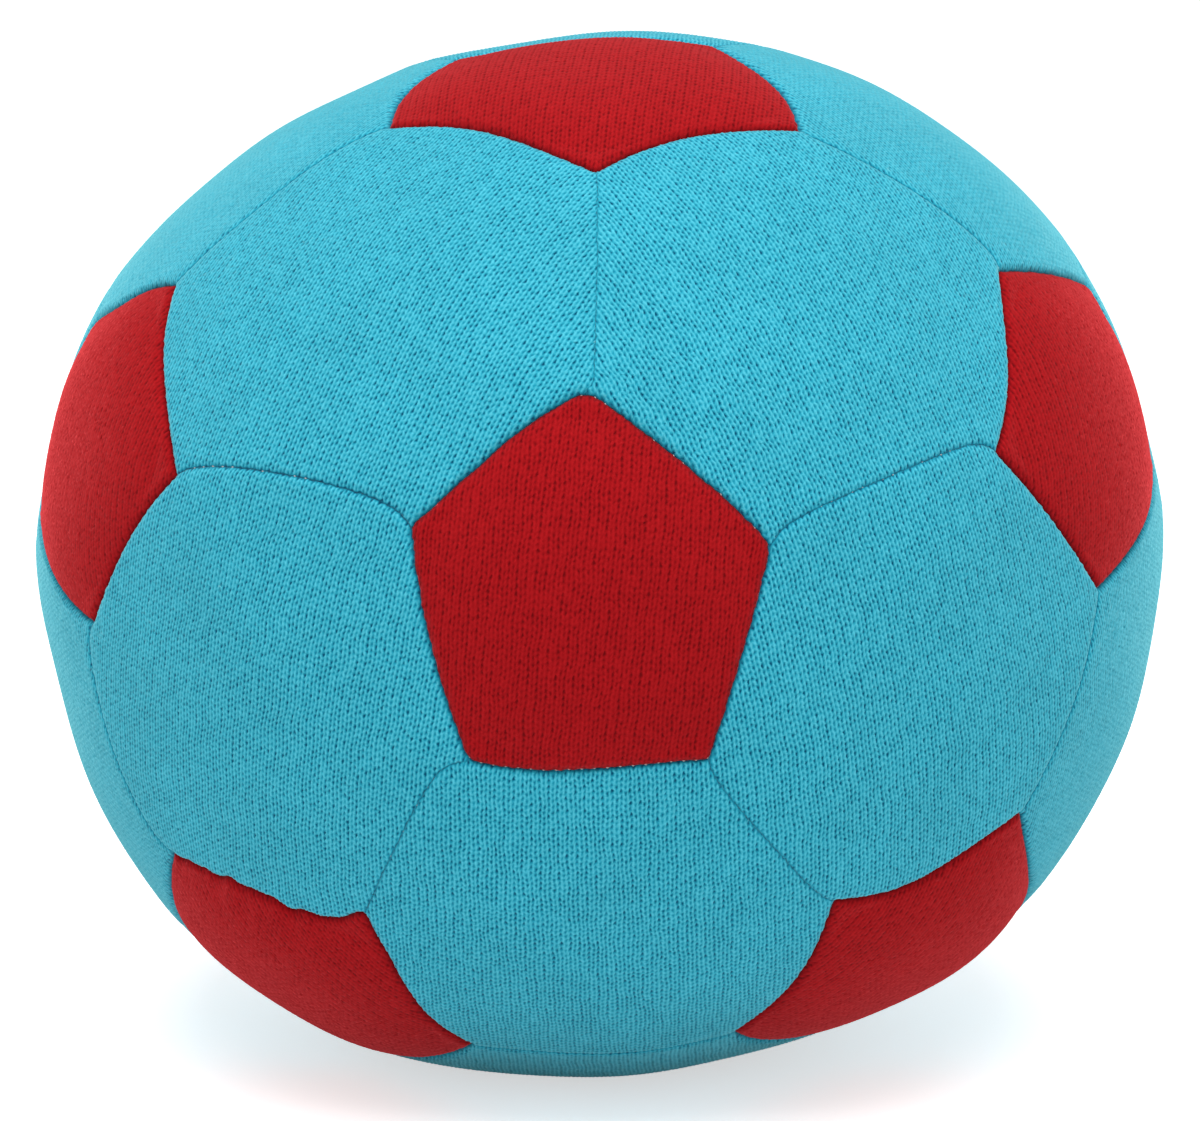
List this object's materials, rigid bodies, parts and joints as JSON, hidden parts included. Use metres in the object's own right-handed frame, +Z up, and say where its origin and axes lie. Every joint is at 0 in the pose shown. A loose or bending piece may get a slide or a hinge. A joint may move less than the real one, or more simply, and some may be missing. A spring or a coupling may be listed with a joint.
{
  "type": "knitted soccer ball",
  "caption": "Soft stuffed toy ball of knitted pentagon and hexagon panels, sewn edge to edge over a fibre filling, resting on a slightly flattened underside.",
  "frame": {"origin": "on the surface that the ball stands on, under the ball's centre, in the plane of its flat foot", "axes": "+Z up; the front pentagon faces -Y; +X to the right as seen from the front"},
  "size_m": [0.2002, 0.2034, 0.1803],
  "materials": {
    "red_knit": "fine cotton stocking stitch, matt, lightly brushed",
    "turquoise_knit": "fine cotton stocking stitch, matt, lightly brushed",
    "sewing_thread": "pale cotton sewing thread",
    "fibre_fill": "loose white polyester fibre"
  },
  "bodies": {
    "root": {"pentagon_front": "red_knit", "pentagon_top": "red_knit", "pentagon_upper_right": "red_knit", "pentagon_lower_right": "red_knit", "pentagon_lower_left": "red_knit", "pentagon_upper_left": "red_knit", "pentagon_back": "red_knit", "pentagon_bottom": "red_knit", "pentagon_rear_lower_left": "red_knit", "pentagon_rear_upper_left": "red_knit", "pentagon_rear_upper_right": "red_knit", "pentagon_rear_lower_right": "red_knit", "hexagon_front_upper_right": "turquoise_knit", "hexagon_front_right": "turquoise_knit", "hexagon_front_bottom": "turquoise_knit", "hexagon_front_left": "turquoise_knit", "hexagon_front_upper_left": "turquoise_knit", "hexagon_side_upper_right": "turquoise_knit", "hexagon_side_right": "turquoise_knit", "hexagon_side_bottom": "turquoise_knit", "hexagon_side_left": "turquoise_knit", "hexagon_side_upper_left": "turquoise_knit", "hexagon_rear_side_lower_left": "turquoise_knit", "hexagon_rear_side_left": "turquoise_knit", "hexagon_rear_side_top": "turquoise_knit", "hexagon_rear_side_right": "turquoise_knit", "hexagon_rear_side_lower_right": "turquoise_knit", "hexagon_back_lower_left": "turquoise_knit", "hexagon_back_left": "turquoise_knit", "hexagon_back_top": "turquoise_knit", "hexagon_back_right": "turquoise_knit", "hexagon_back_lower_right": "turquoise_knit", "fibre_filling": "fibre_fill", "seam_thread_front": "sewing_thread", "seam_thread_top": "sewing_thread", "seam_thread_upper_right": "sewing_thread", "seam_thread_lower_right": "sewing_thread", "seam_thread_lower_left": "sewing_thread", "seam_thread_upper_left": "sewing_thread", "seam_thread_back": "sewing_thread", "seam_thread_bottom": "sewing_thread", "seam_thread_rear_lower_left": "sewing_thread", "seam_thread_rear_upper_left": "sewing_thread", "seam_thread_rear_upper_right": "sewing_thread", "seam_thread_rear_lower_right": "sewing_thread", "closing_thread": "sewing_thread"}
  },
  "joints": []
}
